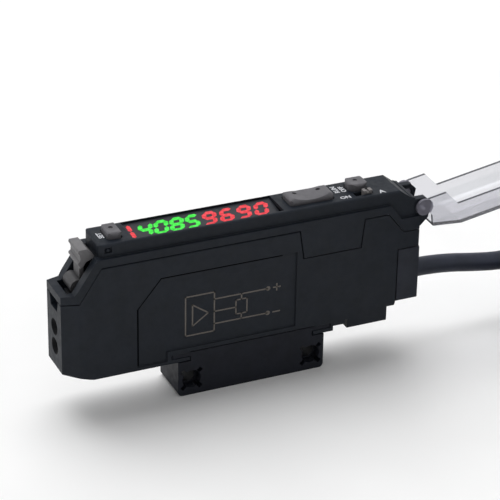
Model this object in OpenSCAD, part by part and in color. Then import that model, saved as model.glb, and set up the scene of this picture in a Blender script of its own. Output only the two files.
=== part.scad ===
/* [Case] */
// Width across the flat sides
body_w = 10; // [9.6:0.1:12]
// Fibre end face, measured from the middle of the bracket
fibre_end = 40.3; // [39:0.1:46]
// Cable end face, measured from the middle of the bracket
cable_end = 37; // [36.5:0.1:42]
// Lower case from its underside to the parting line
case_h = 24.5; // [23.5:0.1:28]
// Wall of the lower case
wall = 1.2; // [1:0.05:1.4]
// Width of the fibre end face
nose_w = 8; // [7.4:0.1:9]
// Length over which the sides taper to the fibre end
nose_l = 3.5; // [2.5:0.1:4.5]
// Depth of the bare label field in the side
label_depth = 0.35; // [0.2:0.05:0.4]

/* [Upper cover] */
// Parting line to the ledge under the dust cover's skirts
ledge_rise = 1.9; // [1.6:0.1:2.4]
// Ledge to the key panel
panel_rise = 2.7; // [2.4:0.1:3.2]
// Width of the ledge on each side of the block that carries the keys
ledge_w = 0.75; // [0.7:0.05:0.9]
// Roof over the keys
roof_t = 0.8; // [0.6:0.05:1]
// Drop of the parting line at the fibre shoulder
shoulder_drop = 7; // [6:0.1:8]
// Height of the rim round the lever pocket
shoulder_rim = 1.9; // [1.5:0.1:2.4]
// Height of the snap tongue on each side
tongue_h = 6.1; // [4:0.1:8]
// Width of the snap tongue at its foot
tongue_w = 12.6; // [8:0.1:14]
// Thickness of the snap tongue
tongue_t = 0.6; // [0.4:0.05:0.7]

/* [Fibre ports and clamp] */
// Diameter of each fibre bore
fibre_d = 2.3; // [1.2:0.1:2.6]
// Mouth of each fibre bore
port_mouth_d = 3.6; // [3:0.1:4]
// Distance between the two fibre bores
port_pitch = 4.3; // [4.1:0.1:5]
// Height of the point midway between the bores, above the underside
port_h = 8.85; // [8:0.05:10]
// Cam drum of the lever
drum_d = 3.2; // [3.1:0.1:3.6]
// Width of the lever's handle
lever_w = 5.6; // [5:0.1:5.7]
// Reach of the lever from its pin to its tip
lever_l = 8.7; // [8:0.1:9.5]
// Lever pin
pin_d = 1.2; // [1:0.1:1.4]

/* [Keys] */
// Height of the keys above the panel
key_rise = 1.3; // [0.9:0.05:1.3]
// Press of a key
key_travel = 0.4; // [0.3:0.05:0.45]
// Length of the set key
set_l = 2.9; // [2.6:0.1:3.4]
// Length of the rocker key
rocker_l = 9.6; // [8.6:0.1:10]
// Space beside the set and rocker keys, inside the cover's walls
key_side = 0.8; // [0.7:0.05:1.2]
// Length of the mode key
mode_l = 4.1; // [3.4:0.1:4.2]
// Tilt of the rocker key each way, in degrees
rocker_tilt = 3; // [1:0.5:4]
// Travel of the select slide
slide_travel = 1.6; // [1:0.1:1.8]

/* [Dust cover] */
// Skirt thickness
skirt_t = 0.65; // [0.5:0.05:0.7]
// Top plate thickness
plate_t = 0.5; // [0.5:0.05:0.7]
// Radius of the hinge lugs
lug_r = 1.75; // [1.5:0.05:1.8]
// Hinge boss diameter
boss_d = 1.6; // [1.2:0.1:2]
// Angle by which the cover stands open
cover_open = 170; // [0:1:175]

/* [Rail mount and bracket] */
// Rail width that the slot takes
rail_w = 35; // [34.8:0.1:35.2]
// Thickness of the bracket's rail flange
flange_t = 0.9; // [0.8:0.05:1]
// Length of the bracket block
bracket_l = 32.2; // [31.5:0.1:33]
// Height of the bracket block
bracket_h = 7.8; // [7:0.1:10]
// Width of the bracket
bracket_w = 9.7; // [9:0.1:10]
// Distance of each screw hole from the bracket's end
screw_inset = 2.9; // [2.7:0.1:3.6]
// Screw hole diameter
screw_d = 3.4; // [3.2:0.1:3.6]

/* [Cable] */
// Cable diameter
cable_d = 4; // [3.8:0.1:4.2]
// Height of the cable's exit above the floor
exit_z = 16.2; // [15.5:0.1:18]
// Length of the gland block
gland_l = 4.8; // [4:0.1:5]
// Height of the gland block
gland_h = 12; // [10:0.1:12.5]
// Diameter of each flying lead
lead_d = 1.2; // [1:0.1:1.4]

/* [Hidden] */
$fn = 48;

// Clearances
seam = 0.2;
fit = 0.1;
run = 0.05;
eps = 0.01;

// Heights
seat_gap = 0.1;
base_z = bracket_h + seat_gap;
z_part = base_z + case_h;
z_ledge = z_part + ledge_rise;
z_top = z_ledge + panel_rise;
z_roof = z_top - roof_t;
z_shoulder = z_part - shoulder_drop;
z_rim = z_shoulder + shoulder_rim;

// Fibre end, from the end face inwards
x_f = -fibre_end;
shoulder_l = 3.55;
slope_run = 4.65;
rim_shift = 0.9;
x_sh = x_f + shoulder_l;
x_sl = x_sh + slope_run;
x_top_f = x_sl - 0.2;
nose_wall = 2.7;
chin_l = 6.8;
chin_h = 2.3;
chin_bend_l = 2.8;
chin_bend_h = 1.3;
slit_top_w = 5.5;
slit_low_w = 3.5;
slit_h = 2.3;
bar_l = 1.7;
x_pocket = x_sl - 0.2;
pocket_w = lever_w + 0.3;

// Cable end, from the end face inwards
x_c = cable_end;
x_ridge = x_c - 4.4;
x_block = x_c - 0.95;
x_drop = x_c - 7.2;
drop_run = 3.7;
drop_h = 4.6;
z_drop = z_part - drop_h;
step_x = x_c - 6.65;
step_run = 2.5;
z_step = z_part - 1.5;
strip_x = x_c - 1.9;
z_strip = z_ledge + 0.7;
gland_x = x_c + 0.3 - gland_l;
gland_z = base_z + 4;
gland_gap = 0.3;
neck_gap = 0.1;
neck_w2 = body_w - 2 * wall - 2.4;
head_w = body_w - 2 * wall - 0.8;
neck_inset = 1.6;
foot_inset = 2.2;
foot_h = 3.35;
x_foot = gland_x - foot_inset;
top_w = body_w - 2 * ledge_w;
arm_t = 1.5;
arm_y = top_w / 2 - 0.1;
arm_reach = 1.9;
arm_drop = 0.6;
pivot_x = x_c + 1;
pivot_z = z_part + 0.2;

// Snap tongue, wider at its root
tongue_inset = 12.4;
tongue_x = x_drop - tongue_inset;
tongue_flare_f = 1.1;
tongue_flare_c = 0.8;

// Hollow of the upper cover and the lip that enters the lower case
rim_t = 0.5;
rim_drop = 0.9;
cav_w = body_w - 2 * wall;
up_w = cav_w - 2 * fit - 2 * rim_t;
end_wall = 0.8;
block_r = 1.2;
edge_r = 0.5;
catch_x = x_top_f + 1.85;
catch_l = 1.5;
catch_depth = 0.45;

// Key panel, from both ends towards the window
set_inset = 4.1;
mode_inset = 7.6;
set_x = x_top_f + set_inset;
mode_x = x_ridge - mode_inset;
rocker_pitch = 11.1;
rocker_x = mode_x - rocker_pitch;
set_w = up_w - 2 * key_side;
rocker_w = up_w - 2 * key_side;
key_gap = 0.15;
key_r = 0.9;
key_soft = 0.5;
rocker_soft = 0.9;
mode_lift = 0.15;
mode_r = 1.5;
key_flange = 0.4;
flange_h = 0.6;
win_x0 = set_x + set_l / 2 + 1.8;
win_x1 = rocker_x - rocker_l / 2 - 2;
win_near = -top_w / 2 + 0.85;
win_far = top_w / 2 - 0.35;
z_win = z_roof - 1.2;
pane_h = 0.66;
pane_lean = 0.83;
slot_w = 1.5;
slot_zone = slot_w + 0.9;
slot_y = -up_w / 2 + 0.95;
mode_w = up_w - slot_zone;
mode_y = slot_zone / 2 - 0.2;
knob_l = 2;
slot_l = knob_l + slide_travel + 0.4;
knob_x = mode_x + 0.95;
slot_x = knob_x - slide_travel / 2;
rocker_z = z_top - 1.5;
trunnion_r = 0.6;
trunnion_l = 0.6;
dimple_r = 0.45;

// Boards and the parts on them
board_t = 0.8;
board_z = z_part - rim_drop - fit - board_t;
board_top = board_z + board_t;
board_w = up_w - 0.3;
switch_h = 1.2;
plunger_h = 0.4;
plunger_r = 0.6;
z_stem = board_top + switch_h + plunger_h + key_travel + run;
rocker_arm = 3.6;
rocker_stem = board_top + switch_h + plunger_h + rocker_arm * sin(rocker_tilt) + run;
main_t = 1;
main_y = 1.5;
floor_t = 1.3;
slot_h = 2.25;
z_floor = base_z + slot_h + floor_t - 0.25;
holder_l = 10;
holder_x = x_f + nose_wall + 3.1;
main_x0 = holder_x + holder_l + 1.2;
main_x1 = x_foot - wall - 0.3;
rib_inner = 2.75;
connector_l = 10;
connector_w = 2.4;
connector_h = 1.6;
chip_l = 7;
chip_t = 1.2;
z_chip = (z_floor + board_z - chip_l) / 2;
regulator_l = 4;

// Fibre ports
port_z = base_z + port_h;
port_zs = [port_z - port_pitch / 2, port_z + port_pitch / 2];
mouth_l = 0.7;
clamp_x = x_f + nose_wall + fit;
clamp_t = 2.9;
clamp_w = 4;
guide_gap = 0.15;
can_d = 3.2;
can_l = 3;

// Lever
lever_x = x_sh + 1.05;
lever_z = z_shoulder + 1.95;
pin_fit = 0.02;
cheek_l = 1.6;
neck_w = 3.2;
neck_t = 0.9;
drum_w = pocket_w - 1.5;
cam = 0.6;
cam_angle = 120;
z_drum = lever_z + cam * sin(cam_angle);

// Dust cover, drawn closed
cover_in = top_w / 2 + fit;
cover_out = cover_in + skirt_t;
cover_gap = 0.15;
plate_gap = 0.3;
z_plate = z_top + key_rise + plate_gap;
x_bend = x_c - 6.7;
x_heel = x_c - 0.3;
z_heel = z_plate + plate_t - 1.65;
cover_tip = x_top_f - plate_t - 0.15;
tip_lip = 2.8;

// Rail slot and bracket
lip_t = 1;
lip_x = 13.6;
rail_gap = 0.25;
z_flange = base_z + lip_t + run;
hook_web = 0.5;
notch_l = 3.3;
notch_h = 1.3;
release_slit = 0.6;
star_r = 2;
star_l = 6;
star_slot = 0.9;
star_depth = 2.2;
hole_z = 3.6;
screw_pitch = bracket_l - 2 * screw_inset;
corner_r = 1;

// Cable coil, and the cable's way to it and from it
coil_x = 82;
coil_y = -28.8;
coil_in = 13.8;
coil_out = 30.9;
coil_h = 16.3;
tie_t = 0.5;
tie_w = 4;
turn_lead = 8;
z_turn = coil_h - 0.4 * cable_d;
reach = coil_x - turn_lead - x_c;
route = [[x_c + 0.3, 0, exit_z], [x_c + 0.108 * reach, 0, exit_z], [x_c + 0.27 * reach, 0, exit_z - 0.5],
    [x_c + 0.432 * reach, 0, exit_z - 1.5], [x_c + 0.595 * reach, 0, z_turn - 0.8],
    [x_c + 0.757 * reach, 0, z_turn - 0.8], [x_c + 0.892 * reach, 0, z_turn - 0.3],
    [x_c + reach, 0, z_turn]];
tail_x = coil_x + turn_lead;
tail_route = [[tail_x, 0, 2.5], [tail_x + 4, 0.3, 2.3], [tail_x + 8, 0.8, 2.1], [tail_x + 10, 1.1, 2.1]];
lead_x = tail_x + 10;
lead_route = [[lead_x, 1.1, 2], [lead_x + 4, 1.5, 1.1], [lead_x + 8, 2, 0.7], [lead_x + 13, 2.6, 0.7]];
lead_fan = 1.25;
lead_spread = 0.25;

// Extrude an outline in X and Z across the width, centred on the middle plane
module side(w) {
    translate([0, w / 2, 0])
        rotate([90, 0, 0])
            linear_extrude(w)
                children();
}

// Extrude an outline in X and Z between two values of Y
module slab(y0, y1) {
    translate([0, y1, 0])
        rotate([90, 0, 0])
            linear_extrude(y1 - y0)
                children();
}

// Extrude an outline in Y and Z between two values of X
module along(x0, x1) {
    translate([x0, 0, 0])
        rotate([90, 0, 90])
            linear_extrude(x1 - x0)
                children();
}

// Rectangle with round corners, centred
module rrect(w, h, r) {
    square([w - 2 * r, h], center = true);
    square([w, h - 2 * r], center = true);
    for (sx = [-1, 1], sy = [-1, 1])
        translate([sx * (w / 2 - r), sy * (h / 2 - r)])
            circle(r);
}

// Pin along Y
module cross_pin(x, z, r, w) {
    translate([x, w / 2, z])
        rotate([90, 0, 0])
            cylinder(r = r, h = w);
}

// Box given by two corners
module box(a, b) {
    translate(a)
        cube(b - a);
}

// Plan outline of the case, tapered at the fibre end
module plan_body() {
    linear_extrude(z_top + 10)
        polygon([[x_f, -nose_w / 2], [x_f + nose_l, -body_w / 2], [x_c + 10, -body_w / 2],
            [x_c + 10, body_w / 2], [x_f + nose_l, body_w / 2], [x_f, nose_w / 2]]);
}

// Parting line, raised by dz on the upper cover
function part_line(dz) = [[x_f - eps, z_shoulder + dz], [x_sh, z_shoulder + dz], [x_sl, z_part + dz],
    [x_drop, z_part + dz], [x_drop + drop_run, z_drop + dz], [x_c, z_drop + dz]];

// Snap tongue, widened on every side by a gap
module tongue_outline(gap) {
    x0 = tongue_x - tongue_w / 2 - gap;
    x1 = tongue_x + tongue_w / 2 + gap;
    z0 = z_part - tongue_h - gap;
    polygon([[x0 - tongue_flare_f, z_part + 1], [x0, z0], [x1, z0], [x1 + tongue_flare_c, z_part + 1]]);
}

module case_outline() {
    z_recess = gland_z + gland_h + gland_gap;
    polygon(concat(part_line(0), [[x_c, z_recess], [gland_x - gland_gap, z_recess], [gland_x - gland_gap, gland_z],
        [gland_x - 0.5, base_z + foot_h], [x_foot, base_z + foot_h], [x_foot, base_z],
        [x_f + chin_l, base_z], [x_f + chin_bend_l, base_z + chin_bend_h], [x_f - eps, base_z + chin_h]]));
}

module cavity_outline() {
    z_low = base_z + floor_t;
    z_shelf = gland_z + gland_h + gland_gap + wall;
    z_heel_floor = gland_z + 0.6;
    z_open = z_part + 5;
    x_back = gland_x - gland_gap - wall;
    x_nose = x_f + nose_wall;
    polygon([[x_nose, z_open], [x_nose, z_low + 1], [holder_x - seam, z_low], [-rail_w / 2 - 2, z_low],
        [-rail_w / 2 - 1, z_floor], [rail_w / 2 + 5, z_floor], [rail_w / 2 + 6, z_low],
        [x_foot - wall, z_low], [x_foot - wall, z_heel_floor], [x_back, z_heel_floor], [x_back, z_shelf],
        [x_c - wall, z_shelf], [x_c - wall, z_open]]);
}

module rail_slot_outline() {
    polygon([[-lip_x, base_z - 1], [-lip_x, base_z + lip_t], [-rail_w / 2 - fit, base_z + lip_t],
        [-rail_w / 2 - fit, z_flange + flange_t + run], [-lip_x, z_flange + flange_t + run],
        [-lip_x, z_flange + flange_t + rail_gap], [lip_x, z_flange + flange_t + rail_gap],
        [lip_x, z_flange + flange_t + run], [rail_w / 2 + fit, z_flange + flange_t + run],
        [rail_w / 2 + fit, base_z + lip_t], [lip_x, base_z + lip_t], [lip_x, base_z - 1]]);
}

module label_outline() {
    polygon([[-rail_w / 2 - 7.4, base_z + 0.9], [-rail_w / 2 - 7.4, z_part - 10.5],
        [-rail_w / 2 - 2.35, z_part - 4.4], [tongue_x - 7.9, z_part - 4.4], [tongue_x - 7.9, base_z + 3.1],
        [-rail_w / 2 - 1, base_z + 3.1], [-rail_w / 2 - 1, base_z + 0.9]]);
}

module lower_case() {
    hook_x = rail_w / 2 + fit + hook_web;
    rib_xs = [main_x0 + 4, 0, main_x1 - 4];
    color("#24262b") {
        difference() {
            intersection() {
                side(body_w) case_outline();
                plan_body();
                along(x_f - 1, x_c + 1)
                    translate([0, base_z + case_h / 2])
                        rrect(body_w, case_h, edge_r);
            }
            side(cav_w) cavity_outline();
            side(body_w + 2) rail_slot_outline();
            box([hook_x, -body_w, base_z - 1], [hook_x + notch_l, body_w, base_z + notch_h]);
            box([hook_x + notch_l - release_slit, -body_w, base_z],
                [hook_x + notch_l, body_w, base_z + notch_h + 0.9]);
            for (m = [0, 1])
                mirror([0, m, 0])
                    slab(-body_w, -body_w / 2 + tongue_t + fit) tongue_outline(seam);
            slab(-body_w, -body_w / 2 + label_depth) label_outline();
            for (z = port_zs)
                translate([x_f, 0, z])
                    rotate([0, 90, 0]) {
                        translate([0, 0, -eps]) cylinder(d1 = port_mouth_d, d2 = fibre_d, h = mouth_l);
                        cylinder(d = fibre_d, h = nose_wall + 1);
                    }
            along(x_f - 1, x_f + nose_wall + 1)
                polygon([[-slit_low_w / 2, z_shoulder - slit_h], [slit_low_w / 2, z_shoulder - slit_h],
                    [slit_top_w / 2, z_shoulder + 1], [-slit_top_w / 2, z_shoulder + 1]]);
            box([gland_x - 3, -neck_w2 / 2, gland_z + neck_inset],
                [gland_x, neck_w2 / 2, gland_z + gland_h - neck_inset]);
        }
        for (x = rib_xs, m = [0, 1])
            mirror([0, m, 0])
                box([x - 0.5, -cav_w / 2 - eps, (abs(x) < rail_w / 2 ? z_floor : base_z + floor_t) - eps],
                    [x + 0.5, -rib_inner, board_z]);
        for (m = [0, 1])
            mirror([0, m, 0])
                box([x_f + nose_wall - eps, -cav_w / 2 - eps, base_z + floor_t - eps],
                    [holder_x - seam, -clamp_w / 2 - guide_gap, z_shoulder - 2.6]);
    }
}

// Wide lower step of the upper cover
module cover_step_outline() {
    polygon(concat(part_line(seam), [[x_c, z_step], [step_x + step_run, z_step], [step_x, z_ledge],
        [x_sl - rim_shift, z_ledge], [x_sh - rim_shift, z_rim], [x_f - eps, z_rim]]));
}

// Narrow block that carries the keys, seen from the side
module cover_top_outline() {
    polygon([[x_top_f, z_part + 1], [x_top_f, z_top], [x_ridge, z_top], [strip_x, z_strip + 0.1],
        [strip_x + 0.15, z_strip + 0.25], [strip_x + 0.4, z_strip], [x_block, z_strip - 0.1],
        [x_block, z_part - 3], [x_drop + drop_run, z_part - 3], [x_drop, z_part + 1]]);
}

module arm_outline() {
    z_arm = z_strip - arm_drop;
    polygon([[x_block - 1, z_arm], [pivot_x + 0.6, z_arm], [pivot_x + arm_reach, z_arm - 1.2],
        [pivot_x + 1.3, z_step - 1], [pivot_x - 0.4, z_drop + 0.4], [x_block - 1, z_drop + 0.4]]);
}

module hollow_outline() {
    z_open = z_part - 9;
    x_front = x_top_f + end_wall;
    x_back = strip_x - 0.1;
    polygon([[x_front, z_open], [x_front, z_roof], [x_ridge - 1.4, z_roof], [x_ridge - 0.8, z_roof - 1],
        [x_back, z_strip - 1.6], [x_back, z_open]]);
}

module upper_cover() {
    block_l = x_c - x_top_f + 2 * arm_reach;
    color("#24262b") {
        difference() {
            union() {
                intersection() {
                    side(body_w) cover_step_outline();
                    plan_body();
                }
                intersection() {
                    side(top_w) cover_top_outline();
                    along(x_top_f - 1, x_c + 1)
                        translate([0, z_top - case_h / 2])
                            rrect(top_w, case_h, edge_r);
                    side(top_w)
                        translate([x_top_f + block_l / 2, z_top - case_h / 2])
                            rrect(block_l, case_h, edge_r);
                    translate([x_top_f + block_l / 2, 0, 0])
                        linear_extrude(z_top + 1)
                            rrect(block_l, top_w, block_r);
                }
                for (m = [0, 1])
                    mirror([0, m, 0])
                        slab(arm_y - arm_t, arm_y) arm_outline();
            }
            side(up_w) hollow_outline();
            box([x_f + bar_l, -pocket_w / 2, z_shoulder - 1], [x_pocket, pocket_w / 2, z_top + 1]);
            panel_holes();
            cross_pin(pivot_x, pivot_z, boss_d / 2 + run, body_w);
            cross_pin(lever_x, lever_z, pin_d / 2 + pin_fit, cav_w - fit);
            for (m = [0, 1])
                mirror([0, m, 0])
                    box([catch_x - catch_l / 2, -top_w / 2 - 1, z_ledge + 0.9],
                        [catch_x + catch_l / 2, -top_w / 2 + catch_depth, z_top - 0.7]);
        }
        for (m = [0, 1])
            mirror([0, m, 0]) {
                slab(-body_w / 2, -body_w / 2 + tongue_t)
                    intersection() {
                        tongue_outline(0);
                        translate([tongue_x - tongue_w, z_part - 2 * tongue_h])
                            square([2 * tongue_w, 2 * tongue_h + seam + eps]);
                    }
                box([x_sl + 1.5, -cav_w / 2 + fit, z_part - rim_drop],
                    [x_drop - 0.6, -up_w / 2, z_part + seam + eps]);
                translate([catch_x, -top_w / 2 + catch_depth + eps, (z_ledge + z_top) / 2 + 0.1])
                    rotate([90, 0, 0])
                        cylinder(d1 = 1, d2 = 0.6, h = catch_depth);
                cheek();
            }
    }
}

// Plate beside the lever, inside the lower case, that carries the pin
module cheek() {
    difference() {
        slab(-cav_w / 2 + fit, -pocket_w / 2)
            polygon([[lever_x - cheek_l, z_shoulder - 0.8], [lever_x + cheek_l, z_shoulder - 0.8],
                [x_pocket, z_shoulder + 2.5], [x_pocket, z_part + 0.4],
                [lever_x - cheek_l, z_shoulder + seam + eps]]);
        cross_pin(lever_x, lever_z, pin_d / 2 + pin_fit, body_w);
    }
}

module panel_holes() {
    hole_h = roof_t + 1;
    translate([set_x, 0, z_roof - 0.5])
        linear_extrude(hole_h) rrect(set_l + 2 * key_gap, set_w + 2 * key_gap, key_r);
    translate([rocker_x, 0, z_roof - 0.5])
        linear_extrude(hole_h) rrect(rocker_l + 2 * key_gap, rocker_w + 2 * key_gap, key_r);
    translate([mode_x, mode_y, z_roof - 0.5])
        linear_extrude(hole_h) rrect(mode_l + 2 * key_gap, mode_w + 2 * key_gap, mode_r);
    box([win_x0, win_near, z_win], [win_x1, win_far, z_top + 1]);
    translate([slot_x, slot_y, z_roof - 0.5])
        linear_extrude(hole_h) rrect(slot_l, slot_w, 0.3);
    cross_pin(rocker_x, rocker_z, trunnion_r + run, up_w + 2 * trunnion_l + 2 * run);
}

module display_window() {
    color("#3b3e44")
        along(win_x0 + run, win_x1 - run)
            polygon([[win_near + run, z_win], [win_far - run, z_win],
                [win_far - run, z_win + pane_h + pane_lean], [win_near + run, z_win + pane_h]]);
}

module display_module() {
    color("#2c2d31")
        box([win_x0 + 0.3, -board_w / 2, board_top], [win_x1 - 0.3, board_w / 2, z_win - 2 * fit]);
}

module display_board() {
    color("#1d5a3a")
        box([x_top_f + end_wall + 0.3, -board_w / 2, board_z], [x_ridge - 1.8, board_w / 2, board_top]);
}

module main_board() {
    color("#1d5a3a")
        box([main_x0, main_y, z_floor], [main_x1, main_y + main_t, board_z - connector_h]);
}

module board_connector() {
    color("#17181a")
        box([-connector_l / 2, main_y + main_t - connector_w, board_z - connector_h],
            [connector_l / 2, main_y + main_t, board_z]);
}

module controller_chip() {
    color("#202225")
        box([-chip_l / 2, main_y - chip_t, z_chip], [chip_l / 2, main_y, z_chip + chip_l]);
}

module regulator() {
    color("#202225")
        box([main_x1 - 2 * regulator_l, main_y - chip_t, z_floor + regulator_l],
            [main_x1 - regulator_l, main_y, z_floor + 2 * regulator_l]);
}

// Key with round corners, a dished top, a finger dimple and a stem over its switch
module key(x, y, l, w, r, lift, ear_along_x) {
    ear_l = ear_along_x ? l + 2 * key_flange : l - 1.6;
    ear_w = ear_along_x ? w - 1.6 : w + 2 * key_flange;
    dish_r = 14;
    z_key = z_top + key_rise + lift;
    key_h = key_rise + lift + roof_t + flange_h + run;
    translate([x, y, 0]) {
        difference() {
            intersection() {
                translate([0, 0, z_key - key_h]) linear_extrude(key_h) rrect(l, w, r);
                side(w) translate([0, z_key - key_h / 2]) rrect(l, key_h, key_soft);
                along(-l, l) translate([0, z_key - key_h / 2]) rrect(w, key_h, key_soft);
            }
            translate([0, 0, z_key + dish_r - 0.12]) sphere(dish_r, $fn = 96);
            translate([0, 0.4, z_key - 0.35]) cylinder(r = dimple_r, h = 1);
        }
        translate([0, 0, z_roof - flange_h - run])
            linear_extrude(flange_h) square([ear_l, ear_w], center = true);
        translate([0, 0, z_stem])
            cylinder(r = 0.9, h = z_roof - flange_h - run - z_stem + eps);
    }
}

module set_button() {
    color("#6f6c6b") key(set_x, 0, set_l, set_w, key_r, 0, false);
}

module mode_button() {
    color("#6f6c6b") key(mode_x, mode_y, mode_l, mode_w, mode_r, mode_lift, true);
}

module rocker_button() {
    saddle = 0.55;
    saddle_l = rocker_l - 2;
    saddle_r = saddle_l * saddle_l / (8 * saddle) + saddle / 2;
    z_key = z_top + key_rise;
    body_h = z_key - rocker_stem - 0.3;
    color("#6f6c6b")
        difference() {
            union() {
                intersection() {
                    side(rocker_w)
                        difference() {
                            translate([rocker_x, z_key - body_h / 2]) rrect(rocker_l, body_h, 0.7);
                            translate([rocker_x, z_key - saddle + saddle_r]) circle(saddle_r, $fn = 180);
                        }
                    translate([rocker_x, 0, 0])
                        linear_extrude(z_top + 5) rrect(rocker_l, rocker_w, key_r - 0.1);
                    along(rocker_x - rocker_l, rocker_x + rocker_l)
                        translate([0, z_key - body_h / 2]) rrect(rocker_w, body_h, rocker_soft);
                }
                cross_pin(rocker_x, rocker_z, trunnion_r, up_w + 2 * trunnion_l);
                for (s = [-1, 1])
                    translate([rocker_x + s * rocker_arm, 0, rocker_stem])
                        cylinder(r = 0.9, h = 1);
            }
            for (s = [-1, 1])
                translate([rocker_x + s * 2.6, 1, z_key - 0.6])
                    cylinder(r = dimple_r, h = 2);
        }
}

module select_slider() {
    knob_z = z_top + key_rise - 0.6;
    color("#8a8782") {
        difference() {
            translate([knob_x, slot_y, z_roof - run - eps])
                linear_extrude(knob_z - z_roof + run + eps) rrect(knob_l, slot_w - 0.2, 0.25);
            box([knob_x - 0.25, slot_y - 1, knob_z - 0.35], [knob_x + 0.25, slot_y + 1, knob_z + 1]);
        }
        box([knob_x - knob_l / 2 - 0.6, slot_y - slot_w / 2 - 0.05, z_roof - run - 0.5],
            [knob_x + knob_l / 2 + 0.6, slot_y + slot_w / 2 + 0.25, z_roof - run]);
        box([knob_x - 0.4, slot_y - 0.3, board_top + 1.5],
            [knob_x + 0.4, slot_y + 0.3, z_roof - run - 0.4]);
    }
}

// Tactile switch on the display board
module tact_switch(x, y) {
    color("#b9bcc0")
        translate([x, y, board_top]) {
            translate([-1.4, -1.2, 0]) cube([2.8, 2.4, switch_h]);
            cylinder(r = plunger_r, h = switch_h + plunger_h);
        }
}

module set_switch() {
    tact_switch(set_x, 0);
}

module up_switch() {
    tact_switch(rocker_x - rocker_arm, 0);
}

module down_switch() {
    tact_switch(rocker_x + rocker_arm, 0);
}

module mode_switch() {
    tact_switch(mode_x, mode_y + 0.3);
}

module slide_switch() {
    travel_l = slide_travel + 1.4;
    color("#b9bcc0")
        difference() {
            box([slot_x - 2.6, slot_y - 0.55, board_top], [slot_x + 2.6, slot_y + 1, board_top + 2]);
            box([slot_x - travel_l / 2, slot_y - 0.4, board_top + 1.3],
                [slot_x + travel_l / 2, slot_y + 0.4, board_top + 3]);
        }
}

// Side of the closed dust cover
module skirt_outline() {
    lug_x = pivot_x - 0.9;
    lug_h = lug_r - 0.25;
    polygon([[cover_tip, z_plate + plate_t], [x_bend, z_plate + plate_t], [x_heel, z_heel],
        [x_heel - 0.15, z_strip], [lug_x, pivot_z + lug_h], [lug_x, pivot_z - lug_h],
        [x_heel - 0.3, z_step + cover_gap], [step_x + step_run - 0.1, z_step + cover_gap],
        [step_x + 0.05, z_ledge + cover_gap], [cover_tip, z_ledge + cover_gap]]);
    translate([pivot_x, pivot_z]) circle(lug_r);
}

module plate_outline() {
    polygon([[cover_tip, z_plate], [cover_tip, z_plate + plate_t], [x_bend, z_plate + plate_t],
        [x_heel, z_heel], [x_heel - 0.12, z_heel - plate_t], [x_bend, z_plate]]);
}

module dust_cover() {
    color("#dfe6ea", 0.35)
        translate([pivot_x, 0, pivot_z])
            rotate([0, cover_open, 0])
                translate([-pivot_x, 0, -pivot_z]) {
                    side(2 * cover_out) plate_outline();
                    box([cover_tip, -cover_in - eps, z_plate + plate_t - tip_lip],
                        [cover_tip + plate_t, cover_in + eps, z_plate + eps]);
                    for (m = [0, 1])
                        mirror([0, m, 0]) {
                            slab(-cover_out, -cover_in) skirt_outline();
                            translate([pivot_x, -cover_in - eps, pivot_z])
                                rotate([-90, 0, 0])
                                    cylinder(d = boss_d, h = arm_t);
                        }
                }
}

module lever_outline() {
    tip_z = lever_z + lever_l;
    translate([lever_x, tip_z]) {
        polygon([[-0.3, 0], [1.6, 0], [3.1, -1.9], [1.2, -2.7], [0.7, -3.5], [0, -4], [-0.1, -3.4],
            [0.1, -1.7]]);
        translate([0.1, -0.45]) circle(0.45);
        translate([0.1, -2.9]) circle(0.5);
    }
}

module clamp_lever() {
    color("#77726f")
        difference() {
            union() {
                side(lever_w) lever_outline();
                side(neck_w)
                    translate([lever_x + 0.2, lever_z]) square([neck_t, lever_l - 2.9]);
                cross_pin(lever_x + cam * cos(cam_angle), z_drum, drum_d / 2, drum_w);
            }
            cross_pin(lever_x, lever_z, pin_d / 2 + run, body_w);
        }
}

module lever_pin() {
    color("#b8bbbf") cross_pin(lever_x, lever_z, pin_d / 2, cav_w - 2 * fit);
}

// Sliding plate that the cam pushes onto the fibres
module fibre_clamp() {
    z_cam = z_drum - drum_d / 2 - 0.15;
    color("#d6d2c6")
        difference() {
            union() {
                box([clamp_x, -clamp_w / 2, base_z + floor_t + 1.6],
                    [clamp_x + clamp_t, clamp_w / 2, z_shoulder - 1.6]);
                box([clamp_x, -1.6, z_shoulder - 1.6 - eps], [clamp_x + clamp_t, 1.6, z_cam]);
            }
            for (z = port_zs)
                translate([clamp_x - 1, 0, z])
                    rotate([0, 90, 0])
                        cylinder(d = fibre_d, h = clamp_t + 2);
        }
}

// Block that lines the fibre tips up with the emitter and the receiver
module optical_holder() {
    color("#2e3136")
        difference() {
            box([holder_x, -cav_w / 2 + fit, base_z + floor_t + eps],
                [holder_x + holder_l, cav_w / 2 - fit, z_shoulder - 2.6]);
            for (z = port_zs)
                translate([holder_x - 1, 0, z])
                    rotate([0, 90, 0]) {
                        cylinder(d = fibre_d, h = holder_l + 2);
                        translate([0, 0, holder_l + 1 - can_l])
                            cylinder(d = can_d + 2 * run, h = can_l + 1);
                    }
        }
}

// Round can with a lens, in the end of the optical holder
module light_can(z) {
    translate([holder_x + holder_l - can_l, 0, z])
        rotate([0, 90, 0]) {
            cylinder(d = can_d, h = can_l);
            for (s = [-1, 1])
                translate([0, s * 0.8, 0]) cylinder(r = 0.25, h = can_l + 1);
        }
}

module light_emitter() {
    color("#e3c7c2") light_can(port_zs[1]);
}

module light_receiver() {
    color("#3a3540") light_can(port_zs[0]);
}

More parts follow.
